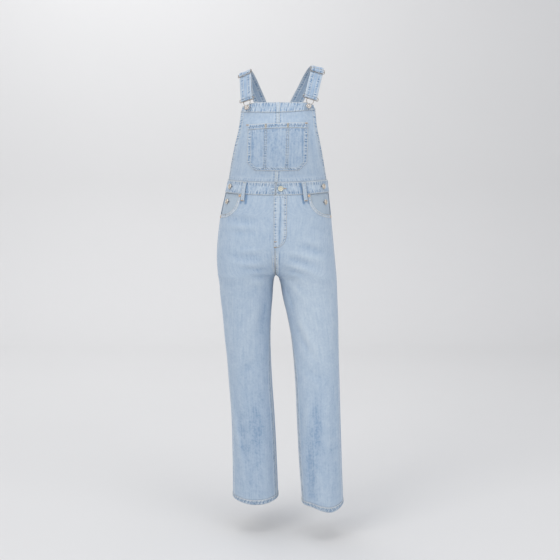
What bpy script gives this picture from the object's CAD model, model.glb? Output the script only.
# Denim dungarees, hollow and in the shape they have when worn. Metres, +Z up, the front faces -Y.
import math

import bpy
import numpy as np
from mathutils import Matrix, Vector


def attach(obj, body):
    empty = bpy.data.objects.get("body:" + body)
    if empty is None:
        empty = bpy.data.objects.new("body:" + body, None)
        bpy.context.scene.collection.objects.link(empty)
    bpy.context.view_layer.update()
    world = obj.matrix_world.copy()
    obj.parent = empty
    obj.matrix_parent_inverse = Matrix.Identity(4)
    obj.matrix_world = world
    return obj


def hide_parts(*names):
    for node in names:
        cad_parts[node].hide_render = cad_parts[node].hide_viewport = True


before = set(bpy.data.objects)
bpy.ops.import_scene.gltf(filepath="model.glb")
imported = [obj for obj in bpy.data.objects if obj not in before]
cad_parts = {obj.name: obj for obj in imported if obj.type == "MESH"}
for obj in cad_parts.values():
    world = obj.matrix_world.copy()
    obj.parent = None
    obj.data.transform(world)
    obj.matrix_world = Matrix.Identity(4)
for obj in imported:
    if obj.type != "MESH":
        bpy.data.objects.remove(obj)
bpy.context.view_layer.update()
right, left = -1, 1
sides = {"R": right, "L": left}
print("frame loaded:", len(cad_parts), "nodes")

studio = {
    "camera": (0.0095, -3.3, -0.325),
    "lensMm": 67.0,
    "pitchDeg": 5.76,
    "floorZ": -1.468,
    "wallY": 4.6,
    "bend": 1.1,
    "paper": (0.775, 0.77, 0.765),
    "world": (0.93, 0.95, 1.0),
    "worldStrength": 0.60,
}
# name, place, aimed at, size, watts, colour
studioLamps = (
    ("keyPanel", (-2.6, -3.2, 1.9), (0.0, 0.0, -0.6), 2.4, 60.0, (1.0, 0.985, 0.96)),
    ("fillPanel", (2.9, -3.0, 0.9), (0.0, 0.0, -0.7), 2.6, 34.0, (0.96, 0.98, 1.0)),
    ("topPanel", (0.0, -0.6, 2.6), (0.0, 0.0, -0.6), 2.6, 30.0, (1.0, 1.0, 1.0)),
    ("wallPanel", (-1.3, 2.4, 2.6), (-1.0, 4.6, 0.0), 2.4, 47.0, (1.0, 1.0, 1.0)),
)


# Shader maths: a Flow wraps a socket, and an operator on it adds the Math node for that operator.
class Flow:
    def __init__(self, graph, socket):
        self.graph, self.socket = graph, socket

    def apply(self, operation, *others):
        values = dict(enumerate((self, *others)))
        return self.graph.node("ShaderNodeMath", {"operation": operation}, values)[0]

    def __add__(self, other):
        return self.apply("ADD", other)

    def __radd__(self, other):
        return self.apply("ADD", other)

    def __sub__(self, other):
        return self.apply("SUBTRACT", other)

    def __rsub__(self, other):
        settings = {"operation": "SUBTRACT"}
        return self.graph.node("ShaderNodeMath", settings, {0: other, 1: self})[0]

    def __mul__(self, other):
        return self.apply("MULTIPLY", other)

    def __rmul__(self, other):
        return self.apply("MULTIPLY", other)

    def __truediv__(self, other):
        return self.apply("DIVIDE", other)

    def __pow__(self, other):
        return self.apply("POWER", other)

    def clip(self, low=0.0, high=1.0):
        return self.apply("MAXIMUM", low).apply("MINIMUM", high)

    def ramp(self, low, high):
        # 0 below low, 1 above high, smooth between them
        settings = {"interpolation_type": "SMOOTHSTEP"}
        values = {"Value": self, "From Min": low, "From Max": high}
        return self.graph.node("ShaderNodeMapRange", settings, values)[0]

    def bump(self, centre, width):
        # 1 at centre, falling smoothly to 0 at width to either side
        return 1.0 - ((self - centre).apply("ABSOLUTE")).ramp(0.0, width)


class Graph:
    def __init__(self, name):
        self.material = bpy.data.materials.new(name)
        self.material.use_nodes = True
        self.nodes = self.material.node_tree.nodes
        self.links = self.material.node_tree.links
        self.shader = self.nodes["Principled BSDF"]

    def put(self, socket, value):
        if isinstance(value, Flow):
            self.links.new(value.socket, socket)
        elif socket.type == "RGBA" and len(value) == 3:
            socket.default_value = (*value, 1.0)
        else:
            socket.default_value = value

    def node(self, kind, settings=None, values=None):
        made = self.nodes.new(kind)
        for key, value in (settings or {}).items():
            setattr(made, key, value)
        for key, value in (values or {}).items():
            self.put(made.inputs[key], value)
        return [Flow(self, socket) for socket in made.outputs]

    def mix(self, low, high, factor):
        # one colour where factor is 0, the other where it is 1
        made = self.nodes.new("ShaderNodeMix")
        made.data_type = "RGBA"
        made.clamp_factor = True
        for number, value in ((0, factor), (6, low), (7, high)):
            self.put(made.inputs[number], value)
        return Flow(self, made.outputs[2])

    def noise(self, vector, scale, detail=2.0, rough=0.5):
        values = {"Vector": vector, "Scale": scale, "Detail": detail, "Roughness": rough}
        return self.node("ShaderNodeTexNoise", {}, values)[0]

    def stretch(self, vector, amounts):
        settings = {"operation": "MULTIPLY"}
        return self.node("ShaderNodeVectorMath", settings, {0: vector, 1: amounts})[0]

    def finish(self, **values):
        for key, value in values.items():
            self.put(self.shader.inputs[key.replace("_", " ")], value)
        return self.material


ropeWaves = ((6.9, 0.40), (9.7, 0.42), (15.1, 0.20), (43.0, 0.15))  # period in mm, share


# Washed denim. Its weave runs on the piece's own UV map, which is in metres along weft and warp.
# The seam attribute holds the distance to the nearest seam, the place along it and its strength;
# the wear attribute is above 0 where the cloth has faded and below 0 where it has kept its blue.
denimLook = {
    "deep": (0.155, 0.268, 0.440),
    "mid": (0.318, 0.430, 0.580),
    "pale": (0.560, 0.650, 0.740),
    "worn": (0.690, 0.740, 0.780),
    "grey": (0.440, 0.510, 0.560),
    "twillPerM": 950.0,
    "roughness": 0.93,
}


def denim(name, tone=0.0, seamTone=1.0, knotsAt=(0.0048, 0.0068), rowsAt=(0.0023, 0.0083),
          contrast=1.0, drag=0.10, knotsPerM=230.0, grey=0.0, lining=False):
    g = Graph(name)
    cloth = g.node("ShaderNodeUVMap", {"uv_map": "cloth"})[0]
    seam = g.node("ShaderNodeAttribute", {"attribute_name": "seam"})[1]
    wear = g.node("ShaderNodeAttribute", {"attribute_name": "wear"})[2]
    away, along, kind = g.node("ShaderNodeSeparateXYZ", {}, {0: seam})
    strength, felled = kind.clip(), (kind - 1.0).clip()
    across, down, _ = g.node("ShaderNodeSeparateXYZ", {}, {0: cloth})

    slubs = g.noise(g.stretch(cloth, (620.0, 26.0, 1.0)), 1.0, 3.0, 0.6)
    streaks = g.noise(g.stretch(cloth, (190.0, 12.0, 1.0)), 1.0, 2.0, 0.5)
    clouds = g.noise(g.stretch(cloth, (42.0, 34.0, 1.0)), 1.0, 3.0, 0.55)
    mottle = g.noise(g.stretch(cloth, (150.0, 130.0, 1.0)), 1.0, 2.0, 0.6)
    grain = g.noise(g.stretch(cloth, (420.0, 380.0, 1.0)), 1.0, 2.0, 0.7)
    # twill: diagonal ribs, broken by the slubs
    ribs = ((across * 0.55 + down) * (denimLook["twillPerM"] * 2 * math.pi)
            + slubs * 5.0).apply("SINE")

    # blue in the hollows of the roped seam and white on its crowns, with drag lines beyond it
    rope = sum((along * (2000 * math.pi / mm)).apply("SINE") * size for mm, size in ropeWaves)
    knots = g.node("ShaderNodeCombineXYZ", {}, {0: along * knotsPerM, 1: away * 140.0, 2: 1.5})[0]
    pleat = rope * 0.9 + (g.noise(knots, 1.0, 2.0, 0.6) - 0.5) * 3.4
    band = away.bump(*knotsAt) * strength
    fan = (1.0 - away.ramp(knotsAt[0], knotsAt[0] + knotsAt[1] * 2.2)) * strength
    edge = (1.0 - away.ramp(0.0005, 0.0022)) * strength
    rows = sum(away.bump(place, 0.0013) for place in rowsAt) * strength
    pressed = felled * (1.0 - away.ramp(0.0080, 0.0098)) * (0.7 + rope * 0.35)

    fade = (0.50 + tone + wear * 0.50 + ((slubs - 0.5) * 0.40 + (streaks - 0.5) * 0.42
            + (clouds - 0.5) * 0.50 + (mottle - 0.5) * 0.55 + (grain - 0.5) * 0.40) * contrast
            + ribs * 0.035 + pleat * fan * (drag * seamTone))
    base = g.mix(denimLook["mid"], denimLook["pale"], fade.clip())
    base = g.mix(base, denimLook["deep"], (0.34 - fade).clip(0.0, 0.7))
    dark = (0.0 - pleat).ramp(-0.1, 0.9) * band * (1.0 - felled * 0.8)
    base = g.mix(base, denimLook["deep"], dark * (0.80 * seamTone))
    base = g.mix(base, denimLook["worn"], pleat.ramp(0.1, 1.0) * band * (0.50 * seamTone))
    base = g.mix(base, denimLook["worn"], (rows * 0.45 + edge * (0.30 + grain * 0.4)) * seamTone
                 + pressed * 0.8)
    if grey:
        base = g.mix(base, denimLook["grey"], grey)
    if lining:
        base = g.mix(base, (0.56, 0.60, 0.63), 0.72)

    height = ribs * 0.5 + slubs * 0.9 + grain * 0.6
    fine = g.node("ShaderNodeBump", {}, {"Strength": 0.22, "Distance": 0.0003, "Height": height})[0]
    coarse = g.node("ShaderNodeBump", {}, {"Strength": 0.6, "Distance": 0.0010,
                                           "Height": pleat * (band + fan * 0.4),
                                           "Normal": fine})[0]
    material = g.finish(Base_Color=base, Roughness=denimLook["roughness"] - ribs * 0.02,
                        Normal=coarse)
    g.shader.inputs["Specular IOR Level"].default_value = 0.18
    g.shader.inputs["Sheen Weight"].default_value = 0.12
    g.shader.inputs["Sheen Roughness"].default_value = 0.5
    return material


def thread(name, colour):
    # twisted cotton: pale and dark turns along its length
    g = Graph(name)
    place = g.node("ShaderNodeTexCoord")[3]
    fuzz = g.noise(place, 900.0, 2.0, 0.6)
    dark = tuple(v * 0.72 for v in colour)
    bump = g.node("ShaderNodeBump", {}, {"Strength": 0.4, "Distance": 0.0002, "Height": fuzz})[0]
    return g.finish(Base_Color=g.mix(dark, colour, fuzz.ramp(0.3, 0.6)), Roughness=0.8, Normal=bump)


def metal(name, colour, tarnish, rough=0.34):
    # worn plating: cloudy tarnish with fine scratches
    g = Graph(name)
    place = g.node("ShaderNodeTexCoord")[3]
    clouds = g.noise(place, 260.0, 3.0, 0.6)
    scratches = g.noise(g.stretch(place, (3000.0, 500.0, 900.0)), 1.0, 2.0, 0.5)
    worn = clouds.ramp(0.38, 0.66)
    bump = g.node("ShaderNodeBump", {}, {"Strength": 0.25, "Distance": 0.0001,
                                         "Height": scratches + clouds})[0]
    made = g.finish(Base_Color=g.mix(tarnish, colour, worn), Metallic=1.0,
                    Roughness=rough + (clouds - 0.5) * 0.25, Normal=bump)
    return made


legDenim = denim("legDenim", seamTone=1.5, knotsAt=(0.0047, 0.0030), rowsAt=(0.0012, 0.0082),
                 contrast=1.25, drag=0.06)
flyDenim = denim("flyDenim", seamTone=1.3, contrast=1.25)
bibDenim = denim("bibDenim", tone=0.02, seamTone=1.35, knotsAt=(0.0055, 0.0070),
                 rowsAt=(0.0023, 0.0115), contrast=1.1)
pocketDenim = denim("pocketDenim", tone=-0.20, seamTone=1.4, knotsAt=(0.0070, 0.0052),
                    rowsAt=(0.0022, 0.0118), contrast=1.5, drag=0.22)
facingDenim = denim("facingDenim", tone=0.0, grey=0.45)
bandDenim = denim("bandDenim", tone=0.0, seamTone=1.1, knotsAt=(0.006, 0.014), rowsAt=(0.0023,),
                  contrast=1.5)
waistDenim = denim("waistDenim", tone=0.02, seamTone=1.15, knotsAt=(0.007, 0.009),
                   rowsAt=(0.0023,), contrast=2.6, knotsPerM=420.0)
trimDenim = denim("trimDenim", tone=0.05, seamTone=0.7)
strapDenim = denim("strapDenim", tone=-0.17, seamTone=1.6, knotsAt=(0.0085, 0.0042),
                   rowsAt=(0.0040, 0.0125))
innerDenim = denim("innerDenim", lining=True)
for name, tint in (("paleThread", (0.66, 0.66, 0.62)), ("tanThread", (0.66, 0.46, 0.28)),
                   ("beigeThread", (0.66, 0.61, 0.52)), ("slateThread", (0.24, 0.27, 0.33))):
    thread(name, tint)
wireMetal = metal("wireMetal", (0.56, 0.52, 0.48), (0.26, 0.22, 0.19))
plateMetal = metal("plateMetal", (0.74, 0.71, 0.67), (0.40, 0.35, 0.31), 0.42)
buttonMetal = metal("buttonMetal", (0.88, 0.82, 0.73), (0.62, 0.54, 0.45), 0.45)
flyMetal = metal("flyMetal", (0.84, 0.83, 0.70), (0.66, 0.62, 0.50), 0.5)
copperMetal = metal("copperMetal", (0.88, 0.70, 0.52), (0.60, 0.43, 0.30), 0.42)
print("materials made")

form = {
    "power": 2.25,       # superellipse power of every section
    "waistTop": -0.347,
    "waistBottom": -0.387,
    "crotch": -0.640,
    "forkPower": 4.0,
    "hem": -1.360,
    "hemTop": -1.347,
    "hemDipStart": -1.25,
    # how the hem hangs lower in front, as bells: centre and width in degrees, and amount
    "hemWaves": {right: ((94, 44, 0.0105),), left: ((72, 36, 0.0135), (122, 28, -0.0036))},
    "gap": 0.00032,
    "wall": 0.0015,
    # how the bib's corners droop: from how far out, over what width, by how much
    "corners": {right: (0.065, 0.044, 0.0120), left: (0.083, 0.024, 0.0075)},
    "cornerFoot": -0.148,
}
# height, centre x, right and left extent, front, side and back y, tilt, lift, back lift
bodyNames = ("z", "centre", "right", "left", "front", "side", "back", "tilt", "lift", "backLift")
bodyRows = (
    (-0.100, 0.0045, -0.163, 0.169, -0.098, 0.0, 0.116, -0.006, -0.003, 0.000),
    (-0.139, 0.0040, -0.161, 0.168, -0.114, 0.0, 0.119, 0.030, 0.0145, 0.000),
    (-0.175, 0.0035, -0.157, 0.164, -0.125, 0.0, 0.119, 0.032, -0.005, 0.000),
    (-0.235, 0.0020, -0.153, 0.159, -0.130, 0.0, 0.113, 0.018, 0.000, 0.003),
    (-0.300, 0.0000, -0.151, 0.156, -0.125, 0.0, 0.105, 0.006, 0.005, 0.008),
    (-0.347, -0.0025, -0.153, 0.158, -0.119, 0.0, 0.106, 0.000, 0.0075, 0.010),
    (-0.387, -0.0050, -0.162, 0.163, -0.121, 0.0, 0.114, 0.000, 0.0075, 0.009),
    (-0.450, -0.0060, -0.177, 0.170, -0.124, 0.0, 0.130, 0.000, 0.004, 0.004),
    (-0.520, -0.0060, -0.187, 0.177, -0.125, 0.002, 0.143, 0.000, 0.000, 0.000),
    (-0.580, -0.0055, -0.191, 0.183, -0.122, 0.005, 0.144, 0.000, 0.000, 0.000),
    (-0.640, -0.0045, -0.188, 0.189, -0.113, 0.007, 0.133, 0.000, 0.000, 0.000),
)
# height, outer and inner x, front, side and back y
legNames = ("z", "outer", "inner", "front", "side", "back")
legRows = {
    right: (
        (-0.640, -0.188, -0.0045, -0.113, 0.007, 0.133),
        (-0.647, -0.1865, -0.0088, -0.111, 0.007, 0.130),
        (-0.655, -0.185, -0.0105, -0.109, 0.007, 0.127),
        (-0.710, -0.180, -0.0150, -0.100, 0.005, 0.112),
        (-0.770, -0.173, -0.0195, -0.092, 0.002, 0.100),
        (-0.840, -0.167, -0.0212, -0.084, 0.000, 0.088),
        (-0.900, -0.1605, -0.0196, -0.079, -0.002, 0.080),
        (-0.970, -0.1555, -0.0164, -0.075, -0.002, 0.073),
        (-1.100, -0.1465, -0.0076, -0.072, 0.000, 0.071),
        (-1.230, -0.1437, -0.0010, -0.072, 0.001, 0.073),
        (-1.360, -0.1428, 0.0040, -0.073, 0.002, 0.075),
    ),
    left: (
        (-0.640, 0.189, -0.0045, -0.113, 0.007, 0.133),
        (-0.647, 0.1895, 0.0050, -0.111, 0.0065, 0.130),
        (-0.655, 0.190, 0.0080, -0.109, 0.006, 0.127),
        (-0.710, 0.192, 0.0190, -0.103, 0.001, 0.108),
        (-0.770, 0.1945, 0.0330, -0.101, -0.007, 0.090),
        (-0.840, 0.1955, 0.0458, -0.099, -0.017, 0.072),
        (-0.900, 0.1965, 0.0522, -0.100, -0.025, 0.058),
        (-0.970, 0.1985, 0.0575, -0.105, -0.033, 0.044),
        (-1.100, 0.2020, 0.0635, -0.117, -0.047, 0.026),
        (-1.230, 0.2060, 0.0702, -0.130, -0.057, 0.018),
        (-1.360, 0.2108, 0.0803, -0.142, -0.066, 0.012),
    ),
}


def cubic(knots, values, at):
    # a cubic between neighbouring knots, with slopes taken across each knot
    slopes = np.gradient(values, knots, axis=0)
    i = np.clip(np.searchsorted(knots, at) - 1, 0, len(knots) - 2)
    step = knots[i + 1] - knots[i]
    f = np.clip((at - knots[i]) / step, 0, 1)
    if values.ndim > 1:
        step, f = step[..., None], f[..., None]
    return (values[i] * (1 + 2 * f) * (1 - f) ** 2 + slopes[i] * step * f * (1 - f) ** 2
            + values[i + 1] * f * f * (3 - 2 * f) - slopes[i + 1] * step * f * f * (1 - f))


def read(rows, names, name, z):
    table = np.array(rows, float)[::-1]
    return cubic(table[:, 0], table[:, names.index(name)], z)


def smooth(t):
    t = np.clip(t, 0, 1)
    return t * t * (3 - 2 * t)


def section(side, z):
    # centre x, middle and half width of one side's section, its front, side and back y, and fork
    z = np.asarray(z, float)
    centre = read(bodyRows, bodyNames, "centre", z)
    outer = np.abs(read(bodyRows, bodyNames, "left" if side == left else "right", z) - centre)
    share = (form["waistTop"] - z) / (form["waistTop"] - form["crotch"])
    fork = np.clip(share, 0, 1) ** form["forkPower"]
    legOuter, legInner = [read(legRows[side], legNames, name, z) for name in ("outer", "inner")]
    onLeg = z < form["crotch"]
    middle = np.where(onLeg, (legOuter + legInner) / 2, centre + side * outer * fork / (1 + fork))
    half = np.where(onLeg, np.abs(legOuter - legInner) / 2, outer / (1 + fork))
    depths = [np.where(onLeg, read(legRows[side], legNames, name, z),
                       read(bodyRows, bodyNames, name, z)) for name in ("front", "side", "back")]
    return centre, middle, half, *depths, np.where(onLeg, 1.0, fork)


def innerAngle(side, z):
    # where a side's section reaches the centre plane, or the inseam on a leg
    return np.pi / 2 + np.arcsin(np.clip(section(side, z)[-1], 0, 1) ** (form["power"] / 2))


def angleAt(side, z, distance):
    # the front angle at which the section is this far from the centre line
    centre, middle, half = section(side, z)[:3]
    share = np.clip((distance - np.abs(middle - centre)) / half, -1, 1)
    return np.arccos(np.sign(share) * np.abs(share) ** (form["power"] / 2))


def plainForm(side, angle, z):
    # x follows the cosine of the angle and y its sine, both raised to 2 / power
    angle, z = np.broadcast_arrays(np.asarray(angle, float), np.asarray(z, float))
    angle = np.where(angle < -np.pi, angle + 2 * np.pi, angle)
    centre, middle, half, front, seam, back, _ = section(side, z)
    across = np.sign(np.cos(angle)) * np.abs(np.cos(angle)) ** (2 / form["power"])
    depth = np.abs(np.sin(angle)) ** (2 / form["power"])
    x = middle + side * half * across
    y = np.where(angle >= 0, seam + (front - seam) * depth, seam + (back - seam) * depth)
    away = np.clip(np.abs(x - centre) / 0.16, 0, 1) ** 2
    lift = read(bodyRows, bodyNames, "lift", z)
    backLift = read(bodyRows, bodyNames, "backLift", z)
    rise = np.where(angle >= 0, lift * away, lift + backLift * (1 - away))
    tilt = read(bodyRows, bodyNames, "tilt", z)
    rise = np.where(z > form["crotch"], rise + tilt * (x - centre), 0)
    start, reach, droop = form["corners"][side]
    corner = np.clip((np.abs(x - centre) - start) / reach, 0, 1.1) ** 1.5
    rise -= droop * corner * smooth((z - form["cornerFoot"]) / 0.040)
    dip = np.clip((form["hemDipStart"] - z) / (form["hemDipStart"] - form["hem"]), 0, 1) ** 2
    for middleAngle, width, amount in form["hemWaves"][side]:
        rise -= dip * amount * np.exp(-(((np.degrees(angle) - middleAngle) / width) ** 2))
    return np.stack([x, y, z + rise], axis=-1)


def outward(side, angle, z):
    step = 1e-4
    byAngle = plainForm(side, angle + step, z) - plainForm(side, angle - step, z)
    byHeight = plainForm(side, angle, z + step) - plainForm(side, angle, z - step)
    found = np.cross(byHeight, byAngle) * side
    return found / np.linalg.norm(found, axis=-1, keepdims=True)


# Soft folds, each a trough (-) or a ridge (+) along a bent line on the form: side, face (1 front,
# -1 back), then start, bend and end as x, z in mm, half width in mm and depth in mm
folds = (
    # hips and lap
    (right, 1, -158, -462, -110, -470, -52, -464, 15, -2.2),
    (right, 1, -150, -500, -105, -506, -62, -498, 13, -1.4),
    (right, 1, -168, -482, -120, -487, -70, -482, 11, 1.3),
    (right, 1, -150, -575, -95, -582, -40, -570, 14, -2.2),
    (right, 1, -120, -556, -80, -560, -38, -552, 10, 1.3),
    (right, 1, -112, -612, -60, -617, -10, -618, 10, -2.8),
    (right, 1, -130, -596, -85, -600, -30, -598, 10, 1.7),
    (right, 1, -84, -634, -44, -640, -12, -640, 9, -2.5),
    (right, 1, -95, -655, -52, -652, -20, -668, 12, 2.0),
    (left, 1, 64, -540, 112, -552, 160, -574, 13, -2.7),
    (left, 1, 62, -520, 110, -530, 150, -545, 11, 1.3),
    (left, 1, 26, -578, 78, -588, 132, -614, 12, -2.8),
    (left, 1, 34, -562, 90, -570, 150, -596, 10, 1.7),
    (left, 1, 10, -614, 58, -620, 116, -652, 12, -3.2),
    (left, 1, 18, -598, 70, -604, 130, -636, 9, 1.8),
    (left, 1, 96, -482, 128, -492, 156, -508, 11, -1.3),
    (left, 1, 14, -640, 44, -664, 88, -712, 13, 2.4),
    # thighs and knees
    (left, 1, 26, -672, 44, -716, 64, -772, 12, -3.4),
    (left, 1, 34, -690, 76, -800, 150, -925, 17, 2.8),
    (left, 1, 58, -790, 82, -850, 124, -900, 14, -2.0),
    (left, 1, 176, -700, 168, -780, 172, -870, 14, 1.4),
    (left, 1, 70, -905, 110, -950, 165, -968, 17, -1.7),
    (right, 1, -30, -690, -42, -760, -58, -850, 16, -2.4),
    (right, 1, -52, -700, -78, -790, -104, -880, 18, 1.7),
    (right, 1, -160, -720, -150, -800, -146, -880, 13, 1.3),
    (right, 1, -40, -880, -80, -930, -128, -950, 18, -1.5),
    # shins
    (right, 1, -146, -1010, -134, -1110, -108, -1275, 12, 2.7),
    (right, 1, -128, -1040, -116, -1130, -92, -1250, 15, -2.1),
    (right, 1, -60, -1020, -64, -1130, -52, -1240, 20, -1.7),
    (right, 1, -36, -1160, -30, -1260, -30, -1350, 14, 1.4),
    (left, 1, 120, -985, 128, -1100, 124, -1220, 15, -2.8),
    (left, 1, 152, -1000, 158, -1120, 160, -1240, 16, 2.7),
    (left, 1, 98, -1120, 104, -1240, 108, -1372, 16, -4.5),
    (left, 1, 188, -1030, 190, -1180, 196, -1330, 11, 1.7),
    (left, 1, 92, -1000, 92, -1080, 90, -1160, 13, 1.5),
    (left, 1, 140, -1240, 150, -1310, 152, -1372, 22, 3.1),
    # bib and waist
    (left, 1, 108, -158, 122, -235, 136, -325, 11, 1.8),
    (left, 1, 98, -150, 108, -230, 122, -330, 10, -1.7),
    (right, 1, -112, -170, -126, -245, -140, -325, 10, 1.7),
    (right, 1, -100, -165, -112, -240, -128, -330, 10, -1.4),
    (right, 1, -88, -322, -50, -330, -12, -324, 10, -1.1),
    (left, 1, 14, -326, 60, -332, 112, -324, 10, -1.1),
    (right, 1, -96, -150, -50, -158, -8, -150, 9, -1.0),
    (left, 1, 12, -150, 52, -157, 96, -149, 9, -1.1),
    # seat, backs of thighs and knees, in the same hand as the front
    (right, -1, -150, -560, -90, -600, -24, -628, 15, -2.9),
    (left, -1, 150, -556, 92, -598, 22, -630, 15, -2.9),
    (right, -1, -160, -610, -100, -648, -34, -672, 13, 2.0),
    (left, -1, 158, -606, 100, -650, 30, -676, 13, 2.0),
    (right, -1, -158, -660, -100, -690, -44, -704, 14, -2.9),
    (left, -1, 168, -655, 110, -692, 48, -712, 14, -2.9),
    (right, -1, -110, -470, -64, -486, -16, -480, 14, -1.3),
    (left, -1, 112, -466, 62, -484, 14, -486, 14, -1.3),
    (right, -1, -158, -872, -104, -902, -50, -884, 16, -3.3),
    (right, -1, -150, -912, -96, -938, -44, -924, 14, -3.5),
    (right, -1, -155, -892, -100, -919, -46, -904, 10, 2.2),
    (right, -1, -140, -948, -92, -968, -40, -962, 14, -2.0),
    (left, -1, 182, -880, 124, -908, 70, -892, 16, -3.5),
    (left, -1, 180, -922, 122, -944, 72, -934, 14, -3.3),
    (left, -1, 182, -901, 122, -926, 70, -913, 10, 2.2),
    (left, -1, 176, -960, 124, -980, 74, -974, 14, -1.9),
    (right, -1, -120, -1020, -112, -1140, -104, -1280, 18, -1.9),
    (right, -1, -60, -1040, -52, -1160, -46, -1300, 18, 1.7),
    (left, -1, 112, -1030, 118, -1150, 122, -1300, 18, -2.0),
    (left, -1, 160, -1010, 164, -1130, 172, -1290, 18, 1.7),
    (right, -1, -70, -740, -66, -800, -72, -850, 22, -1.3),
    (left, -1, 110, -742, 112, -800, 118, -850, 22, -1.3),
)


def foldLine(row):
    side, face, x0, z0, x1, z1, x2, z2 = row[:8]
    t = np.linspace(0, 1, 22)
    x = ((1 - t) ** 2 * x0 + 2 * t * (1 - t) * x1 + t * t * x2) / 1000
    z = ((1 - t) ** 2 * z0 + 2 * t * (1 - t) * z1 + t * t * z2) / 1000
    middle, half = section(side, z)[1:3]
    share = np.clip(side * (x - middle) / half, -1, 1)
    angle = face * np.arccos(np.sign(share) * np.abs(share) ** (form["power"] / 2))
    return t, plainForm(side, angle, z)


foldLines = [(row, *foldLine(row)) for row in folds]


def foldDepth(places):
    # each fold falls away from its line as a bell with shallow opposite shoulders, and its ends fade
    total = np.zeros(places.shape[:-1])
    for row, t, line in foldLines:
        reach = row[8] * 0.0028
        low, high = line.min(axis=0) - reach, line.max(axis=0) + reach
        near = np.all((places > low) & (places < high), axis=-1)
        if not near.any():
            continue
        gaps = np.linalg.norm(places[near][:, None] - line[None], axis=-1)
        nearest = gaps.argmin(axis=1)
        away = (gaps.min(axis=1) / (row[8] / 1000)) ** 2
        ends = np.sin(np.pi * (0.06 + 0.88 * t[nearest])) ** 1.3
        total[near] += row[9] / 1000 * ends * np.exp(-away) * (1 - 0.45 * away)
    return total


def garment(side, angle, z, out=0.0):
    base = plainForm(side, angle, z)
    depth = foldDepth(base)
    return base + outward(side, angle, z) * (depth + out)[..., None]


def onFront(distance, z, out):
    # points at signed distances from the centre line, across both sides
    distance, z = np.broadcast_arrays(np.asarray(distance, float), np.asarray(z, float))
    points = np.zeros(distance.shape + (3,))
    for side in (right, left):
        here = distance * side >= 0 if side == left else distance * side > 0
        if here.any():
            d, zz = np.abs(distance[here]), z[here]
            points[here] = garment(side, angleAt(side, zz, d), zz, out)
    return points


def spread(start, end, count, crowding=0.5):
    # rows that run from start to end, crowded towards both ends
    share = np.linspace(0, 1, count)
    share = (share - crowding * np.sin(2 * np.pi * share) / (2 * np.pi))[None, :]
    return np.asarray(start)[:, None] * (1 - share) + np.asarray(end)[:, None] * share


def hum(along):
    # uneven waves along a seam, between about -1 and 1
    return sum(size * np.sin(along * 2000 * np.pi / mm) for mm, size in ropeWaves)


def gridNormals(points, closed, lookOut, row=None):
    if closed:
        wrapped = np.concatenate([points[:, -1:], points, points[:, :1]], axis=1)
        byColumn = (wrapped[:, 2:] - wrapped[:, :-2])
    else:
        byColumn = np.gradient(points, axis=1)
    found = np.cross(byColumn, np.gradient(points, axis=0))
    found /= np.maximum(np.linalg.norm(found, axis=-1, keepdims=True), 1e-12)
    middle = found[points.shape[0] // 2 if row is None else row, points.shape[1] // 2]
    return found if middle @ lookOut > 0 else -found


def arcs(points):
    # distance walked across each row and down each column of a grid
    across = np.linalg.norm(np.diff(points, axis=1), axis=-1).cumsum(axis=1)
    down = np.linalg.norm(np.diff(points, axis=0), axis=-1).cumsum(axis=0)
    return np.pad(across, ((0, 0), (1, 0))), np.pad(down, ((1, 0), (0, 0)))


def nearestSeam(points, edges, lines=(), narrower=1.0):
    # distance to the nearest seam, place along it and its strength; edges gives left, right, top
    # and bottom strengths, and lines gives (polyline, strength, how much narrower) for others;
    # the seam at the right can be narrower or wider too
    across, down = arcs(points)
    fromRight, fromBottom = across[:, -1:] - across, down[-1:] - down
    found = [(across, down, edges[0]), (fromRight * narrower, down + 0.3, edges[1]),
             (down, across, edges[2]), (fromBottom, across + 0.7, edges[3])]
    for line, strength, narrower in lines:
        steps = np.pad(np.linalg.norm(np.diff(line, axis=0), axis=1).cumsum(), (1, 0))
        gaps = np.linalg.norm(points[:, :, None] - line, axis=-1)
        found.append((gaps.min(axis=-1) * narrower, steps[gaps.argmin(axis=-1)], strength))
    found = [f for f in found if f[2] > 0]
    if not found:
        return np.full(across.shape, 0.03), down, np.zeros(across.shape)
    away = np.stack([f[0] + (1 - min(f[2], 1)) * 0.004 for f in found])
    pick = away.argmin(axis=0)[None]
    chosen = [np.take_along_axis(np.stack([np.broadcast_to(f[n], across.shape) for f in found]),
                                 pick, 0)[0] for n in range(3)]
    return np.minimum(chosen[0], 0.03), chosen[1], chosen[2]


seamShape = {"roll": 0.0006, "fell": 0.00045, "rope": 0.00050, "drag": 0.00055}


def seamRelief(away, along, strength):
    # the edge rolls under, the felled band stands up, roped by its thread, and drag lines fan out
    roll = -seamShape["roll"] * np.exp(-((away / 0.0013) ** 2))
    fell = seamShape["fell"] * smooth(away / 0.0012) * (1 - smooth((away - 0.008) / 0.003))
    rope = seamShape["rope"] * hum(along) * np.exp(-(((away - 0.005) / 0.004) ** 2))
    drag = seamShape["drag"] * hum(along * 0.62 + 0.3) * np.exp(-((away / 0.017) ** 2))
    return np.minimum(strength, 1) * (roll + fell + rope + drag * smooth(away / 0.006))


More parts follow.
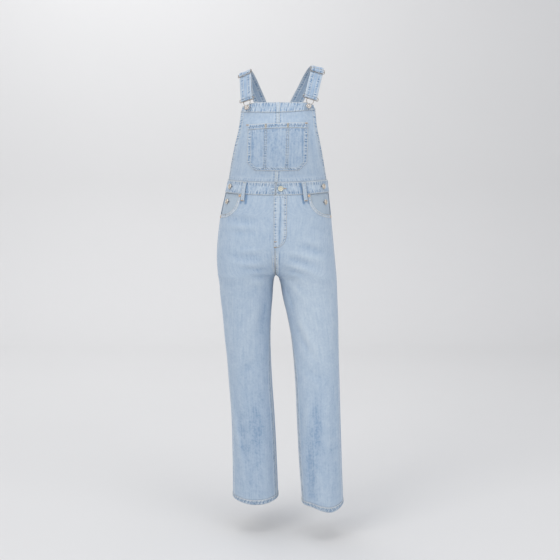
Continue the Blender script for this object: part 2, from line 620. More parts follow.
def wearAt(places, depth):
    # faded where the cloth is rubbed, each patch a bell: x, y, z, widths in x and z, amount
    patches = (
        (-0.100, -0.10, -0.760, 0.070, 0.150, 0.16), (0.100, -0.10, -0.730, 0.085, 0.210, 0.62),
        (-0.095, -0.08, -0.930, 0.060, 0.070, 0.08), (0.125, -0.11, -0.930, 0.060, 0.090, 0.12),
        (-0.075, -0.08, -1.150, 0.050, 0.170, -0.38), (0.135, -0.13, -1.170, 0.060, 0.190, -0.31),
        (-0.020, -0.05, -0.800, 0.030, 0.140, -0.24), (0.045, -0.05, -0.780, 0.025, 0.120, -0.16),
        (-0.090, 0.12, -0.560, 0.060, 0.070, 0.26), (0.080, 0.12, -0.560, 0.060, 0.070, 0.26),
        (-0.090, 0.07, -1.000, 0.070, 0.160, -0.14), (0.130, 0.03, -1.000, 0.070, 0.160, -0.14),
        (0.000, -0.12, -0.250, 0.140, 0.090, 0.10), (0.000, 0.12, -0.250, 0.100, 0.080, 0.10),
        (-0.080, -0.12, -0.480, 0.070, 0.050, 0.08), (0.085, -0.12, -0.470, 0.070, 0.060, 0.10),
    )
    total = np.clip(depth / 0.0026, -1, 1) * 0.42
    for x, y, z, wide, tall, amount in patches:
        gap = ((places[..., 0] - x) / wide) ** 2 + ((places[..., 2] - z) / tall) ** 2
        total += amount * np.exp(-gap - ((places[..., 1] - y) / 0.09) ** 2)
    return total


made = {}


def clothPiece(name, node, points, lookOut, look, wall=0.0015, closed=False, seams=(1, 1, 1, 1),
               lines=(), narrower=1.0, offset=-1.0, seed=1.0, relief=1.0,
               extraWear=None, lookRow=None):
    lookOut = np.asarray(lookOut, float)
    normals = gridNormals(points, closed, lookOut, lookRow)
    away, along, strength = nearestSeam(points, seams, lines, narrower)
    along = along + seed * 0.0137
    across, down = arcs(points)
    flatArea = gridArea(points, closed)
    points = points + normals * (seamRelief(away, along, strength) * relief)[..., None]
    normals = gridNormals(points, closed, lookOut, lookRow)
    rows, columns = points.shape[:2]
    index = np.arange(rows * columns).reshape(rows, columns)
    if closed:
        index = np.concatenate([index, index[:, :1]], axis=1)
    quads = np.stack([index[:-1, :-1], index[:-1, 1:], index[1:, 1:], index[1:, :-1]], axis=-1)
    quads = quads.reshape(-1, 4)
    flat = points.reshape(-1, 3)
    corner = flat[quads[(rows // 2) * (index.shape[1] - 1) + columns // 2]]
    facing = np.cross(corner[1] - corner[0], corner[3] - corner[0])
    if facing @ normals[rows // 2, columns // 2] < 0:
        quads = quads[:, ::-1]
    mesh = bpy.data.meshes.new(name)
    mesh.from_pydata(flat.tolist(), [], quads.tolist())
    mesh.shade_smooth()
    loops = np.empty(len(mesh.loops), np.int32)
    mesh.loops.foreach_get("vertex_index", loops)
    weave = np.stack([across - across[:, columns // 2][:, None], -down], axis=-1).reshape(-1, 2)
    mesh.uv_layers.new(name="cloth").data.foreach_set("uv", weave[loops].ravel())
    seam = np.stack([away, along, strength], axis=-1)
    mesh.attributes.new("seam", "FLOAT_VECTOR", "POINT").data.foreach_set("vector", seam.ravel())
    wear = wearAt(points, foldDepth(points))
    if extraWear is not None:
        wear = wear + extraWear
    mesh.attributes.new("wear", "FLOAT", "POINT").data.foreach_set("value", wear.ravel())
    mesh.materials.append(look)
    mesh.materials.append(innerDenim)
    piece = bpy.data.objects.new(name, mesh)
    bpy.context.scene.collection.objects.link(piece)
    solidify = piece.modifiers.new("wall", "SOLIDIFY")
    solidify.thickness = wall
    solidify.offset = offset
    solidify.material_offset = 1 if offset < 0 else 0
    solidify.material_offset_rim = 0
    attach(piece, "root")
    nodes = (node,) if isinstance(node, str) else tuple(node)
    if nodes:
        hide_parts(*nodes)
    wide = float(across[:, -1].max())
    if closed:
        wide += float(np.linalg.norm(points[:, 0] - points[:, -1], axis=-1).max())
    tall = float(down[-1].max())
    wide, tall = round(wide, 4), round(tall, 4)
    made[name] = {"points": points, "normals": normals, "across": across, "down": down,
                  "object": piece}
    return made[name]


def gridArea(points, closed):
    if closed:
        points = np.concatenate([points, points[:, :1]], axis=1)
    a, b = points[1:, 1:] - points[:-1, :-1], points[1:, :-1] - points[:-1, 1:]
    return float(np.linalg.norm(np.cross(a, b), axis=-1).sum() / 2)


threads = {"paleThread": [], "tanThread": [], "beigeThread": [], "slateThread": []}
stitch = {"pitch": 0.0034, "length": 0.0029, "radius": 0.00042, "sides": 5}


def sew(points, normals, colour="paleThread", pitch=None, length=None, radius=None):
    # stitches along a line, each a spindle that dives into the cloth at both ends
    pitch, length = pitch or stitch["pitch"], length or stitch["length"]
    radius = radius or stitch["radius"]
    walked = np.pad(np.linalg.norm(np.diff(points, axis=0), axis=1).cumsum(), (1, 0))
    count = int(walked[-1] / pitch)
    if count < 1:
        return
    at = (np.arange(count) + 0.5) * walked[-1] / count
    read3 = lambda array, d: np.stack([np.interp(d, walked, array[:, k]) for k in range(3)], -1)
    ends = [read3(points, np.clip(at + s * length / 2, 0, walked[-1])) for s in (-1, 1)]
    up = read3(normals, at)
    addStitches(ends[0], ends[1], up, colour, radius)


def addStitches(starts, stops, up, colour, radius):
    along = stops - starts
    up = up / np.linalg.norm(up, axis=-1, keepdims=True)
    side = np.cross(along, up)
    side /= np.linalg.norm(side, axis=-1, keepdims=True)
    turn = np.arange(stitch["sides"]) * 2 * np.pi / stitch["sides"]
    ring = (side[:, None] * np.cos(turn)[None, :, None] + up[:, None] * np.sin(turn)[None, :, None])
    rise = radius * 0.75
    rings = [starts[:, None] + along[:, None] * share + up[:, None] * rise + ring * radius
             for share in (0.2, 0.8)]
    tips = [starts - up * radius * 0.8, stops - up * radius * 0.8]
    block = np.concatenate([tips[0][:, None], rings[0], rings[1], tips[1][:, None]], axis=1)
    threads[colour].append(block)


def buildThreads():
    n = stitch["sides"]
    ring = np.arange(n)
    after = (ring + 1) % n
    fans = np.concatenate([np.stack([np.zeros(n, int), 1 + after, 1 + ring], -1),
                           np.stack([np.full(n, 2 * n + 1), 1 + n + ring, 1 + n + after], -1),
                           np.stack([1 + ring, 1 + after, 1 + n + after], -1),
                           np.stack([1 + ring, 1 + n + after, 1 + n + ring], -1)])
    for colour, blocks in threads.items():
        spots = np.concatenate(blocks)
        for part, low, high in (("Upper", -0.40, 9.0), ("Lower", -9.0, -0.40)):
            middle = spots[:, 0, 2]
            chosen = spots[(middle >= low) & (middle < high)]
            if not len(chosen):
                continue
            size = 2 * n + 2
            faces = (fans[None] + size * np.arange(len(chosen))[:, None, None]).reshape(-1, 3)
            mesh = bpy.data.meshes.new(colour + part)
            mesh.from_pydata(chosen.reshape(-1, 3).tolist(), [], faces.tolist())
            mesh.shade_smooth()
            mesh.materials.append(bpy.data.materials[colour])
            piece = bpy.data.objects.new(colour + part, mesh)
            bpy.context.scene.collection.objects.link(piece)
            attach(piece, "root")
            print("stitches", colour + part, len(chosen))


def trackAlong(piece, edge, distance, start=0, stop=None):
    # the line at this distance from a side of a piece: its points and normals, row by row
    points, normals = piece["points"], piece["normals"]
    if edge in ("left", "right"):
        walk = piece["across"] if edge == "left" else piece["across"][:, -1:] - piece["across"]
    else:
        walk = piece["down"] if edge == "top" else piece["down"][-1:] - piece["down"]
        points, normals, walk = points.swapaxes(0, 1), normals.swapaxes(0, 1), walk.T
    if edge in ("right", "bottom"):
        points, normals, walk = points[:, ::-1], normals[:, ::-1], walk[:, ::-1]
    i = np.clip((walk < distance).sum(axis=1), 1, walk.shape[1] - 1)
    row = np.arange(len(walk))
    low, high = walk[row, i - 1], walk[row, i]
    f = np.clip((distance - low) / np.maximum(high - low, 1e-9), 0, 1)[:, None]
    line = points[row, i - 1] * (1 - f) + points[row, i] * f
    ups = normals[row, i - 1] * (1 - f) + normals[row, i] * f
    return line[start:stop], ups[start:stop]


def sewAlong(piece, edge, distances, start=0, stop=None, **how):
    for distance in distances:
        sew(*trackAlong(piece, edge, distance, start, stop), **how)


def barTack(place, along, up, length=0.009, width=0.0022, colour="tanThread"):
    # a close row of cross stitches over a short line
    along = along / np.linalg.norm(along)
    across = np.cross(up, along)
    across /= np.linalg.norm(across)
    count = int(length / 0.0006)
    at = np.linspace(-length / 2, length / 2, count)[:, None]
    middle = place + along * at + up * 0.0002
    ups = np.repeat(up[None], count, axis=0)
    addStitches(middle - across * width / 2, middle + across * width / 2, ups, colour, 0.00032)


trousers = {"columns": 74, "backColumns": 82, "rowStep": 0.0034, "seamSwingStart": -0.400,
            "hipSwing": 13.0, "kneeSwing": 6.0, "inseamSwing": {right: 21.0, left: 15.0},
            "mouthStart": {right: 0.114, left: 0.109}, "mouthDepth": 0.066, "pocketOverlap": 0.014}


def seamAngle(z):
    # the side seam swings forward a little on its way down
    hip = smooth((trousers["seamSwingStart"] - z) / 0.12)
    knee = smooth((-0.85 - z) / 0.25)
    return np.radians(trousers["hipSwing"] * hip + trousers["kneeSwing"] * knee)


def inseamSwing(side, z):
    # how far in front of the leg's inner side the inseam has come
    return np.radians(trousers["inseamSwing"][side] * smooth((-0.670 - z) / 0.34))


def gapAngle(side, z, share=0.5):
    front, seam = section(side, z)[3:5]
    return share * form["gap"] / np.abs(seam - front)


def centreShift(side, z):
    half = section(side, z)[2]
    straight = form["gap"] / 2 / half / np.maximum(np.sin(innerAngle(side, z)), 0.35)
    return np.where(z < form["crotch"], gapAngle(side, z), straight)


def mouthCurve(side, grow, turn):
    # a quarter of an ellipse from the waistband to the side seam, grown by this much
    depth = trousers["mouthDepth"] + grow
    z = form["waistBottom"] - depth * np.sin(turn)
    centre, middle, half = section(side, z)[:3]
    outer = np.abs(middle - centre) + half
    inward = outer - (trousers["mouthStart"][side] - grow)
    return angleAt(side, z, outer - inward * np.cos(turn)), z


def legHeights(top):
    count = int((top - form["hemTop"]) / trousers["rowStep"])
    return np.linspace(top, form["hemTop"] + form["gap"], count)


loopLines = {right: (0.094, 0.099), left: (0.0835, 0.0935)}  # distance from the centre, top, foot


def loopDistance(side, z):
    share = (form["waistTop"] - z) / 0.061
    return loopLines[side][0] + (loopLines[side][1] - loopLines[side][0]) * share


def besideLoops(points):
    # the cloth keeps its blue along both sides of a belt loop and below its foot
    z, total = points[..., 2], np.zeros(points.shape[:-1])
    for side in (right, left):
        gap = side * (points[..., 0] + 0.004) - loopDistance(side, z)
        total -= np.exp(-(((np.abs(gap) - 0.0080) / 0.0036) ** 2)) * np.where(gap < 0, 1.0, 0.55)
    return total * smooth((z + 0.418) / 0.008) * (points[..., 1] < 0)


def frontShade(side, points):
    # blue beside the fly's edge, and below the fly a pale felled strip between two blue lines
    fromCentre = side * points[..., 0] + (0.0045 if side == right else 0.0)
    low = smooth((-0.556 - points[..., 2]) / 0.012) * smooth((points[..., 2] + 0.648) / 0.006)
    if side == right:
        high = smooth((points[..., 2] + 0.55) / 0.02)
        line = np.exp(-(((fromCentre - 0.0088) / 0.0020) ** 2)) * (0.9 * high + 0.8 * low)
        strip = low * (1 - smooth((fromCentre - 0.0045) / 0.002))
    else:
        line = np.exp(-(((fromCentre - 0.0078) / 0.0020) ** 2)) * low
        strip = low * (1 - smooth((fromCentre - 0.0052) / 0.002))
    return 0.6 * strip - 0.9 * line


for label, side in sides.items():
    turn = np.linspace(0, math.radians(80), 24)
    start, z = mouthCurve(side, 0.0, turn)
    lower = np.concatenate([[form["waistBottom"] - trousers["mouthDepth"]],
                            legHeights(form["waistBottom"] - trousers["mouthDepth"] - 0.003)])
    start, z = np.pad(start, (0, len(lower))), np.concatenate([z, lower])
    z[0] -= form["gap"]
    start = np.maximum(start, seamAngle(z) + gapAngle(side, z))
    end = innerAngle(side, z) - inseamSwing(side, z) - centreShift(side, z)
    points = garment(side, spread(start, end, trousers["columns"]), z[:, None])
    mouthTurn = np.linspace(0, np.pi / 2, 70)
    mouthLine = garment(side, *mouthCurve(side, 0.0, mouthTurn))
    shade = 1.8 * besideLoops(points) + frontShade(side, points)
    # the inseam's strip is wide, the centre seam's above it narrow, and the fly hides the rest
    squeeze = 0.48 + 0.5 * smooth((z + 0.66) / 0.03) + 5.0 * smooth((z + 0.575) / 0.02)
    front = clothPiece(f"frontLeg{label}", f"front_leg_{label}", points, (0, -1, 0), legDenim,
                       seams=(1.5, 0.95, 0, 0), lines=((mouthLine, 1.75, 1.0),),
                       narrower=squeeze[:, None], seed=3.0 + side, extraWear=shade)
    for inset in (0.0018, 0.0082):
        a, zz = mouthCurve(side, inset, mouthTurn)
        keep = a > seamAngle(zz) + 0.01
        sew(garment(side, a[keep], zz[keep], 0.0006), outward(side, a[keep], zz[keep]))
    sewAlong(front, "right", (0.0030, 0.0092), start=np.argmax(z < -0.552))
    z = np.concatenate([np.linspace(form["waistBottom"] - form["gap"], -0.45, 20),
                        legHeights(-0.4534)])
    start = seamAngle(z) - gapAngle(side, z)
    end = -innerAngle(side, z) - inseamSwing(side, z) + centreShift(side, z)
    points = garment(side, spread(start, end, trousers["backColumns"]), z[:, None])
    kept = -0.75 * np.exp(-((arcs(points)[0] / 0.0042) ** 2))
    back = clothPiece(f"backLeg{label}", f"back_leg_{label}", points, (0, 1, 0), legDenim,
                      seams=(0.35, 0.8, 0.5, 0), narrower=0.8, seed=7.0 + side, extraWear=kept)
    sewAlong(back, "right", (0.0030, 0.0092), stop=np.argmax(z < form["crotch"]))
print("legs made")

hemBand = {"rows": 7, "columns": 150, "out": 0.0008, "wall": 0.0021}
for label, side in sides.items():
    z = np.linspace(form["hemTop"] - form["gap"], form["hem"], hemBand["rows"])
    angle = np.linspace(-np.pi, np.pi, hemBand["columns"] + 1)[:-1]
    points = garment(side, angle[None, :], z[:, None], hemBand["out"])
    walk = np.pad(np.linalg.norm(np.diff(points[3], axis=0), axis=-1).cumsum(), (1, 0))
    share = np.linspace(0, 1, hemBand["rows"])[:, None]
    # the turned hem twists into rope: ridges that slant across it, and a rolled lower edge
    twist = walk[None, :] + 0.006 * share + 0.03 * side
    rope = (hum(twist) + 0.9 * np.sin(twist * 2 * np.pi / 0.0125)) / 1.5
    rope = rope * np.sin(np.pi * (0.12 + 0.80 * share))
    lower = smooth((share - 0.72) / 0.28) * 0.0011
    ups = gridNormals(points, True, outward(side, angle[75], z[3]))
    points = points + ups * (0.00055 * rope - lower + 0.0003 * np.sin(np.pi * share))[..., None]
    ring = clothPiece(f"hem{label}", f"hem_{label}", points, outward(side, angle[75], z[3]),
                      bandDenim, wall=hemBand["wall"], closed=True, seams=(0, 0, 0.9, 1.15),
                      relief=0.35, seed=5.0 + side, extraWear=1.9 * rope)
    line, ups = trackAlong(ring, "top", 0.0018)
    sew(np.concatenate([line, line[:1]]), np.concatenate([ups, ups[:1]]), "beigeThread")
print("hems made")

facing = {"rows": 30, "columns": 34, "below": 0.0013, "wall": 0.0011}
overlap = trousers["pocketOverlap"]
for label, side in sides.items():
    angle, z = mouthCurve(side, overlap, np.linspace(0, math.radians(84), facing["rows"]))
    z[0] -= form["gap"]
    grid = spread(seamAngle(z) + gapAngle(side, z, 2.0), angle, facing["columns"], 0.2)
    points = garment(side, grid, z[:, None], -form["wall"] - facing["below"])
    clothPiece(f"pocketFacing{label}", f"pocket_facing_{label}", points, (side, -1, 0),
               facingDenim, wall=facing["wall"], seams=(0.6, 0, 0.5, 0), relief=0.5,
               seed=9.0)

flyFlap = {"width": 0.036, "lap": 0.004, "bottom": -0.545, "turn": -0.500, "out": 0.0014,
           "wall": 0.0010, "foot": 0.007}
z = np.concatenate([
    np.linspace(form["waistBottom"] - form["gap"], flyFlap["turn"], 44),
    flyFlap["turn"] + (flyFlap["bottom"] - flyFlap["turn"]) * np.sin(
        np.linspace(0.05, np.pi / 2, 22))])
drop = np.clip((flyFlap["turn"] - z) / (flyFlap["turn"] - flyFlap["bottom"]), 0, 1)
wide = flyFlap["foot"] + (flyFlap["width"] - flyFlap["foot"]) * np.sqrt(1 - drop**2)
share = np.linspace(0, 1, 22)[None, :]
distance = -flyFlap["lap"] * (1 - share) + wide[:, None] * share
points = onFront(distance, np.broadcast_to(z[:, None], distance.shape), flyFlap["out"])
# a soft ridge runs down the flap over the folded edge beneath it
ridge = np.exp(-(((distance - 0.0115) / 0.0038) ** 2)) * (1 - smooth((-0.455 - z) / 0.05))[:, None]
points[..., 1] -= 0.0012 * ridge
# pale down both sides of a dark crease that widens at mid height
crease = 0.0170 - 0.004 * smooth((-0.43 - z) / 0.06)[:, None]
width = 0.0022 + 0.0022 * np.exp(-(((z + 0.475) / 0.03) ** 2))[:, None]
flyShade = (-1.25 * np.exp(-(((distance - crease) / width) ** 2))
            + 0.60 * np.exp(-(((distance - 0.0080) / 0.0055) ** 2))
            + 0.45 * np.exp(-(((distance - 0.0235) / 0.0035) ** 2)))
flap = clothPiece("flyFlap", "fly", points, (0, -1, 0), flyDenim, wall=flyFlap["wall"],
                  seams=(0.8, 0.9, 0.6, 0.6), seed=2.0,
                  extraWear=0.45 * ridge + flyShade)
sewAlong(flap, "right", (0.0016, 0.0072))
sewAlong(flap, "left", (0.0022,))
for z0 in (-0.528, -0.545):
    spot = onFront(np.array([0.0015]), np.array([z0]), flyFlap["out"] + 0.0006)[0]
    barTack(spot, np.array([1.0, 0, 0.1]), np.array([0, -1.0, 0]), 0.0075)
print("pockets and fly made")

waistband = {"out": 0.0011, "rows": 18, "columns": 62}
for label, side in sides.items():
    z = np.linspace(form["waistTop"] - form["gap"], form["waistBottom"], waistband["rows"])
    middle = np.pi / 2 - form["gap"] / 2 / section(side, z)[2]
    grid = spread(gapAngle(side, z), middle, waistband["columns"], 0.3)
    points = garment(side, grid, z[:, None], waistband["out"])
    outside = 0.30 * smooth((np.abs(points[..., 0]) - 0.104) / 0.008)
    band = clothPiece(f"waistbandFront{label}", f"waistband_front_{label}", points, (0, -1, 0),
                      waistDenim, wall=form["wall"] + waistband["out"], seams=(0.8, 0.8, 1, 1),
                      seed=11.0 + 3 * side,
                      extraWear=1.8 * besideLoops(points) + outside)
    sewAlong(band, "top", (0.0022,))
    sewAlong(band, "bottom", (0.0022,))
    sewAlong(band, "left", (0.0025,))
    sewAlong(band, "right", (0.0025,))


def backRow(z, count, out):
    # a row round the back, from the right side seam to the left one
    angle = -np.linspace(0, np.pi / 2, count)[None, :] - gapAngle(right, z)[:, None]
    angle = np.maximum(angle, -np.pi / 2)
    halves = [garment(side, angle, np.broadcast_to(z[:, None], angle.shape), out)
              for side in (right, left)]
    return np.concatenate([halves[0], halves[1][:, ::-1][:, 1:]], axis=1)


z = np.linspace(form["waistTop"] - form["gap"], form["waistBottom"], waistband["rows"])
band = clothPiece("waistbandBack", "waistband_back", backRow(z, waistband["columns"],
                  waistband["out"]), (0, 1, 0), waistDenim, seed=15.0,
                  wall=form["wall"] + waistband["out"], seams=(0.8, 0.8, 1, 1))
for edge in ("top", "bottom"):
    sewAlong(band, edge, (0.0022,))

loop = {"out": 0.0034, "stand": 0.0014, "width": 0.0135, "bottom": -0.408}


def beltLoop(name, node, side, angleOf):
    z = np.linspace(form["waistTop"] - 0.002, loop["bottom"], 26)
    share = np.linspace(0, 1, 26)
    half, front, seam = section(side, z)[2:5]
    angle = angleOf(z)
    wide = loop["width"] / 2 / np.hypot(half * np.sin(angle), (front - seam) * np.cos(angle))
    grid = spread(angle - wide, angle + wide, 9, 0.0)
    crown = 0.0005 * (1 - np.linspace(-1, 1, 9) ** 2)[None, :]
    stand = (loop["out"] + loop["stand"] * np.sin(np.pi * share))[:, None] + crown
    points = plainForm(side, grid, z[:, None]) + outward(side, angle, z)[:, None] * stand[..., None]
    points = points + outward(side, angle, z)[:, None] * foldDepth(points)[..., None]
    edges = 0.22 * np.abs(np.linspace(-1, 1, 9))[None, :] ** 3 * np.ones((26, 1))
    strip = clothPiece(name, node, points, outward(side, angle[13], z[13]), trimDenim, wall=0.0017,
                       seams=(0.4, 0.4, 0, 0), relief=0.8,
                       seed=4.0, extraWear=edges + 0.35)
    sewAlong(strip, "left", (0.0026,), pitch=0.003)
    sewAlong(strip, "right", (0.0026,), pitch=0.003)
    for row in (1, -2):
        barTack(strip["points"][row, 4], strip["points"][row, 8] - strip["points"][row, 0],
                strip["normals"][row, 4], 0.0095, colour="paleThread" if row == 1 else "tanThread")


for label, side in sides.items():
    beltLoop(f"beltLoopFront{label}", f"belt_loop_front_{label}", side,
             lambda z, s=side: angleAt(s, z, loopDistance(s, z)))
    beltLoop(f"beltLoopBack{label}", f"belt_loop_back_{label}", side,
             lambda z: np.full_like(z, math.radians(-38)))
beltLoop("beltLoopBackCentre", "belt_loop_back_centre", left,
         lambda z: np.full_like(z, math.radians(-90)))
print("waistband and loops made")

bib = {"top": -0.106, "bandHeight": 0.032, "bandOut": 0.0018, "backTop": -0.175}
bibEdges = ((-0.107, -0.1045, 0.1115), (-0.139, -0.1100, 0.1175), (-0.175, -0.1165, 0.1225),
            (-0.235, -0.1295, 0.1345), (-0.300, -0.1430, 0.1465), (-0.347, -0.1505, 0.1545))
backEdges = ((-0.175, 0.052), (-0.200, 0.056), (-0.235, 0.067), (-0.280, 0.090),
             (-0.320, 0.120), (-0.347, 0.147))


def bibStart(side, z):
    edge = read(bibEdges, ("z", "right", "left"), "left" if side == left else "right", z)
    return angleAt(side, z, np.abs(edge - read(bodyRows, bodyNames, "centre", z)))


def besideStrip(points, ladder=0.35):
    # blue at both sides of the centre strip, broken into rungs, with a pale line beyond
    gap = np.abs(points[..., 0] - read(bodyRows, bodyNames, "centre", points[..., 2]))
    rungs = 1 - ladder + ladder * np.sin(points[..., 2] * 2 * np.pi / 0.0088)
    return (-1.2 * rungs * np.exp(-(((gap - 0.0078) / 0.0018) ** 2))
            + 0.4 * np.exp(-(((gap - 0.0118) / 0.0016) ** 2)))


for label, side in sides.items():
    z = np.linspace(bib["top"], form["waistTop"], 98)
    middle = np.pi / 2 - form["gap"] / 2 / section(side, z)[2]
    points = garment(side, spread(bibStart(side, z), middle, 64), z[:, None])
    half = clothPiece(f"bib{label}", f"bib_{label}", points, (0, -1, 0), bibDenim,
                      seams=(1, 0.4, 0, 0.4), seed=20.0 + 3 * side,
                      extraWear=besideStrip(points))
    sewAlong(half, "left", (0.0022, 0.0110), start=13)

rows = np.linspace(bib["top"], bib["top"] - bib["bandHeight"], 16)
halves = [garment(side, spread(bibStart(side, rows), np.full(16, np.pi / 2), 62, 0.0),
                  rows[:, None], bib["bandOut"]) for side in (right, left)]
points = np.concatenate([halves[0], halves[1][:, ::-1][:, 1:]], axis=1)
band = clothPiece("bibBand", "bib_band", points, (0, -1, 0), bandDenim, wall=0.0014,
                  seams=(1, 1, 1, 0.9),
                  seed=31.0, extraWear=besideStrip(points))
sewAlong(band, "top", (0.0022,))
sewAlong(band, "bottom", (0.0022,))
sewAlong(band, "left", (0.0022, 0.0082))
sewAlong(band, "right", (0.0022, 0.0082))

seamStrip = {"width": 0.0105}
pocket = {"top": -0.1695, "bottom": -0.313, "half": 0.091, "corner": 0.025, "hem": 0.0160,
          "out": 0.0021, "dividers": (-0.0365, 0.0295)}
for name, node, top, bottom, out in (
        ("centreSeamBand", "centre_seam_band", bib["top"] - 0.001,
         bib["top"] - bib["bandHeight"], bib["bandOut"] + 0.0012),
        ("centreSeamUpper", "centre_seam_upper", bib["top"] - bib["bandHeight"] - form["gap"],
         pocket["top"] + form["gap"], 0.0012),
        ("centreSeamLower", "centre_seam_lower", pocket["bottom"] - form["gap"],
         form["waistTop"], 0.0014)):
    z = np.linspace(top, bottom, 14)
    d = np.linspace(-seamStrip["width"] / 2, seamStrip["width"] / 2, 9)
    strip = clothPiece(name, node, onFront(d[None, :], z[:, None], out), (0, -1, 0), trimDenim,
                       wall=0.0009, seams=(0.6, 0.6, 0, 0), relief=0.4,
                       seed=6.0,
                       extraWear=np.full((14, 9), 0.75))
    sewAlong(strip, "left", (0.0018,))
    sewAlong(strip, "right", (0.0018,))



def pocketShade(points):
    # blue just under the hem and inside the side seams, and a rubbed patch low on the left
    x, z = points[..., 0], points[..., 2]
    under = np.exp(-(((z - pocket["top"] + pocket["hem"] + 0.0020) / 0.0020) ** 2))
    dashes = 0.6 + 0.4 * np.sin(x * 2 * np.pi / 0.019 + 0.8 * np.sin(x * 120))
    inside = np.exp(-(((np.abs(x - 0.002) - pocket["half"] + 0.0152) / 0.0018) ** 2))
    rubbed = np.exp(-(((x - 0.071) / 0.006) ** 2) - ((z + 0.256) / 0.012) ** 2)
    return 0.55 * rubbed - 1.1 * under * dashes - 0.7 * inside * smooth((z + 0.29) / 0.03)


z = np.linspace(pocket["top"] - pocket["hem"], pocket["bottom"], 54)
low = np.clip((pocket["bottom"] + pocket["corner"] - z) / pocket["corner"], 0, 1)
half = pocket["half"] - pocket["corner"] * low
d = spread(-half, half, 90, 0.3)
points = onFront(d, z[:, None], pocket["out"])
rails = [onFront(np.full(40, x), np.linspace(pocket["top"], pocket["bottom"], 40), pocket["out"])
         for x in pocket["dividers"]]
patch = clothPiece("bibPocket", "bib_pocket", points, (0, -1, 0), pocketDenim, wall=0.0014,
                   seams=(1, 1, 0.35, 1), lines=[(rail, 0.75, 2.4) for rail in rails],
                   seed=40.0, extraWear=pocketShade(points))
sewAlong(patch, "left", (0.0022, 0.0118))
sewAlong(patch, "right", (0.0022, 0.0118))
sewAlong(patch, "bottom", (0.0022, 0.0082), start=14, stop=-14)
for x in pocket["dividers"]:
    for shift in (-0.0027, 0.0027):
        zz = np.linspace(pocket["top"] - 0.001, pocket["bottom"] + 0.009, 80)
        line = onFront(np.full(80, x + shift), zz, pocket["out"] + 0.0010)
        sew(line, np.repeat([[0, -1.0, 0.05]], 80, axis=0))

z = np.linspace(pocket["top"], pocket["top"] - pocket["hem"] + form["gap"], 8)
d = spread(np.full(8, -pocket["half"]), np.full(8, pocket["half"]), 90, 0.3)
hem = clothPiece("bibPocketHem", "bib_pocket_hem", onFront(d, z[:, None], pocket["out"] + 0.0006),
                 (0, -1, 0), pocketDenim, wall=0.0020, seams=(1, 1, 1, 0.8),
                 seed=43.0, relief=0.7)
sewAlong(hem, "top", (0.0016,))
sewAlong(hem, "bottom", (0.0016,))
for x in (-0.0905, 0.0835):
    barTack(onFront(np.array([x]), np.array([pocket["top"] - 0.0018]), pocket["out"] + 0.0016)[0],
            np.array([1.0, 0, 0]), np.array([0, -1.0, 0]), 0.0085, 0.0036)
for x in pocket["dividers"]:
    middle = np.array([pocket["top"] - pocket["hem"] / 2])
    barTack(onFront(np.array([x]), middle, pocket["out"] + 0.0014)[0], np.array([0, 0, 1.0]),
            np.array([0, -1.0, 0]), 0.0115, 0.0056, "beigeThread")

z = np.linspace(bib["backTop"], form["waistTop"], 70)
width = read(backEdges, ("z", "half"), "half", z)
halves = [garment(side, -spread(angleAt(side, z, width), np.full(70, np.pi / 2), 50, 0.3),
                  z[:, None]) for side in (right, left)]
points = np.concatenate([halves[0], halves[1][:, ::-1][:, 1:]], axis=1)
back = clothPiece("backBib", "back_bib", points, (0, 1, 0), bibDenim, seams=(1, 1, 1, 0.5),
                  seed=50.0)
sewAlong(back, "left", (0.0022, 0.0082))
sewAlong(back, "right", (0.0022, 0.0082))
sewAlong(back, "top", (0.0022,))
print("bib made")

strapLook = {"width": 0.038, "wall": 0.0016, "wire": 0.0011, "bars": 0.0105, "ear": 0.0095,
             "foldReach": 0.0070, "rowStep": 0.0019, "columns": 23}
layer = strapLook["wire"] + 0.0006 + strapLook["wall"] / 2
# the strap's line from its sewn end at the back to the button: place, then where its face looks
strapRows = {
    right: (
        (-0.0235, 0.1225, -0.205, -0.05, 1.00, 0.00),
        (-0.0310, 0.1232, -0.172, -0.08, 1.00, 0.06),
        (-0.0480, 0.1170, -0.108, -0.12, 0.95, 0.28),
        (-0.0700, 0.0960, -0.056, -0.20, 0.75, 0.62),
        (-0.0870, 0.0600, -0.020, -0.25, 0.34, 0.90),
        (-0.0965, 0.0200, -0.0060, -0.26, 0.05, 0.96),
        (-0.0990, -0.0120, -0.0065, -0.32, -0.32, 0.89),
        (-0.0990, -0.0380, -0.0140, -0.42, -0.66, 0.62),
        (-0.0950, -0.0650, -0.0520, -0.45, -0.76, 0.47),
        (-0.0913, -0.0926, -0.1015, -0.43, -0.80, 0.42),
        (-0.0900, -0.1040, -0.1230, -0.38, -0.85, 0.36),
    ),
    left: (
        (0.0275, 0.1225, -0.205, 0.05, 1.00, 0.00),
        (0.0350, 0.1232, -0.172, 0.08, 1.00, 0.06),
        (0.0570, 0.1170, -0.104, 0.12, 0.95, 0.28),
        (0.0860, 0.0960, -0.048, 0.20, 0.75, 0.62),
        (0.1080, 0.0600, -0.0065, 0.22, 0.34, 0.90),
        (0.1210, 0.0200, 0.0085, 0.21, 0.05, 0.97),
        (0.1262, -0.0120, 0.0080, 0.22, -0.32, 0.92),
        (0.1247, -0.0380, -0.0050, 0.22, -0.72, 0.65),
        (0.1140, -0.0650, -0.0450, 0.20, -0.82, 0.52),
        (0.1021, -0.0924, -0.0959, 0.22, -0.86, 0.46),
        (0.0960, -0.1055, -0.1190, 0.26, -0.90, 0.36),
    ),
}
bars = strapLook["bars"]
